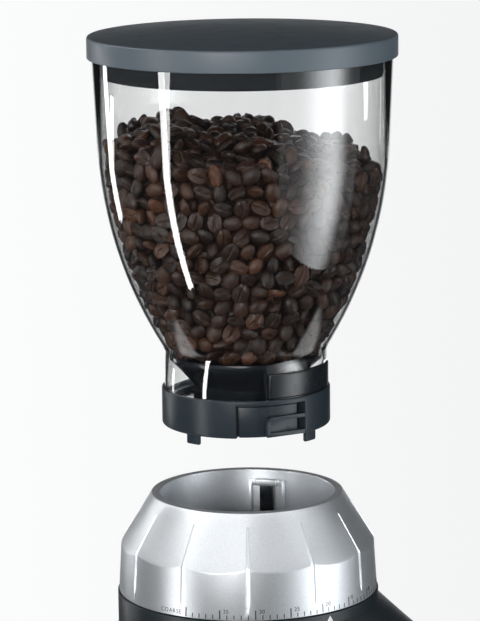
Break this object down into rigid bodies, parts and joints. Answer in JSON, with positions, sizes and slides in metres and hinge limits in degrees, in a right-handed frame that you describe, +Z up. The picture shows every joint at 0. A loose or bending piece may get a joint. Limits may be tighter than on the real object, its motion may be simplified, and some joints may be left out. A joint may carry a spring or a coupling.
{
  "type": "burr coffee grinder",
  "caption": "Upright burr coffee grinder: clear lift-off bean hopper with black lid and collar, silver fluted adjusting ring, black housing with filter-holder fork and tray.",
  "frame": {"origin": "centre of the footprint on the surface that the feet stand on", "axes": "+Z up, -Y is the front with the fork and tray, +X to the right seen from the front"},
  "size_m": [0.153, 0.2064, 0.4458],
  "materials": {
    "lid_black": "fine moulded grain, satin",
    "seal_black": "smooth soft black",
    "clear_bowl": "clear, polished",
    "roasted_beans": "oily roasted coffee beans",
    "gloss_black": "polished black",
    "collar_black": "satin moulded black",
    "cast_silver": "fine bead-blasted cast",
    "housing_black": "satin moulded black",
    "ground_steel": "ground and hardened",
    "bright_steel": "bright plated",
    "gear_plastic": "natural moulded gear plastic",
    "motor_steel": "zinc plated",
    "board_green": "coated board",
    "foot_rubber": "soft grey-black rubber",
    "tray_steel": "brushed"
  },
  "bodies": {
    "housing": {"head_shell": "housing_black", "column_shell": "housing_black", "base_shell": "housing_black", "base_plate": "housing_black", "feet": "foot_rubber", "grinding_chamber": "housing_black", "chamber_screws": "bright_steel", "upper_bearing": "bright_steel", "shaft_clip": "ground_steel", "lower_bush": "ground_steel", "gear_plate_lower": "motor_steel", "gear_plate_upper": "motor_steel", "idler_pin": "ground_steel", "motor_can": "motor_steel", "motor_screws": "bright_steel", "control_board": "board_green", "start_switch": "gloss_black", "button_spring": "bright_steel", "switch_frame": "gloss_black", "outlet_chute": "housing_black", "portafilter_fork": "bright_steel", "fork_screws": "bright_steel", "mains_gland": "foot_rubber"},
    "ring": {"adjusting_ring": "cast_silver"},
    "carrier": {"burr_carrier": "housing_black", "outer_burr": "ground_steel", "hopper_catch": "bright_steel", "catch_post": "gloss_black"},
    "spindle": {"inner_burr": "ground_steel", "burr_bolt": "bright_steel", "grounds_sweeper": "housing_black", "drive_shaft": "ground_steel", "final_gear": "gear_plastic"},
    "idler": {"idler_gear": "gear_plastic"},
    "rotor": {"motor_pinion": "ground_steel", "motor_shaft": "ground_steel", "motor_armature": "motor_steel"},
    "hopper": {"hopper_bowl": "clear_bowl", "bean_charge": "roasted_beans", "bean_funnel": "gloss_black", "hopper_collar": "collar_black"},
    "lid": {"hopper_lid": "lid_black", "lid_seal": "seal_black"},
    "shutter": {"bean_shutter": "gloss_black", "shutter_grip": "gloss_black"},
    "lock": {"lock_lever": "collar_black"},
    "button": {"start_button": "housing_black"},
    "rocker": {"power_rocker": "gloss_black"},
    "tray": {"catch_tray": "tray_steel"}
  },
  "joints": [
    {"name": "hopper_lift", "type": "slide", "parent": "housing", "child": "hopper", "axis": [0, 0, 1], "range_m": [-0.0555, 0.04]},
    {"name": "lid_lift", "type": "slide", "parent": "hopper", "child": "lid", "axis": [0, 0, 1], "range_m": [0, 0.05]},
    {"name": "shutter_turn", "type": "hinge", "parent": "hopper", "child": "shutter", "pos_m": [0, 0.02675, 0.262], "axis": [0, 0, 1], "range_deg": [0, 60]},
    {"name": "lock_turn", "type": "hinge", "parent": "hopper", "child": "lock", "pos_m": [0, 0.02675, 0.255], "axis": [0, 0, 1], "range_deg": [-19, 0]},
    {"name": "adjust_turn", "type": "hinge", "parent": "housing", "child": "ring", "pos_m": [0, 0.02675, 0.185], "axis": [0, 0, 1], "range_deg": [-58.5, 65.5]},
    {"name": "carrier_rise", "type": "slide", "parent": "housing", "child": "carrier", "axis": [0, 0, 1], "range_m": [-0.0007, 0.00075]},
    {"name": "burr_spin", "type": "hinge", "parent": "housing", "child": "spindle", "pos_m": [0, 0.02675, 0.15], "axis": [0, 0, 1], "continuous": true},
    {"name": "idler_spin", "type": "hinge", "parent": "housing", "child": "idler", "pos_m": [0.02295, 0.05333, 0.095], "axis": [0, 0, 1], "continuous": true},
    {"name": "motor_spin", "type": "hinge", "parent": "housing", "child": "rotor", "pos_m": [0, 0.06075, 0.085], "axis": [0, 0, 1], "continuous": true},
    {"name": "start_press", "type": "slide", "parent": "housing", "child": "button", "axis": [0, 1, 0], "range_m": [0, 0.003], "stiffness_N_per_m": 400, "deforming": ["button_spring"]},
    {"name": "power_rock", "type": "hinge", "parent": "housing", "child": "rocker", "pos_m": [0.0638, 0.00975, 0.054], "axis": [0, 1, 0], "range_deg": [-18, 0]},
    {"name": "tray_pull", "type": "slide", "parent": "housing", "child": "tray", "axis": [0, -1, 0], "range_m": [0, 0.06]}
  ],
  "couplings": [
    {"joint": "carrier_rise", "follows": "adjust_turn", "m_per_rad": 0.00063662},
    {"joint": "idler_spin", "follows": "motor_spin", "ratio": -0.33333},
    {"joint": "burr_spin", "follows": "motor_spin", "ratio": 0.11111}
  ]
}
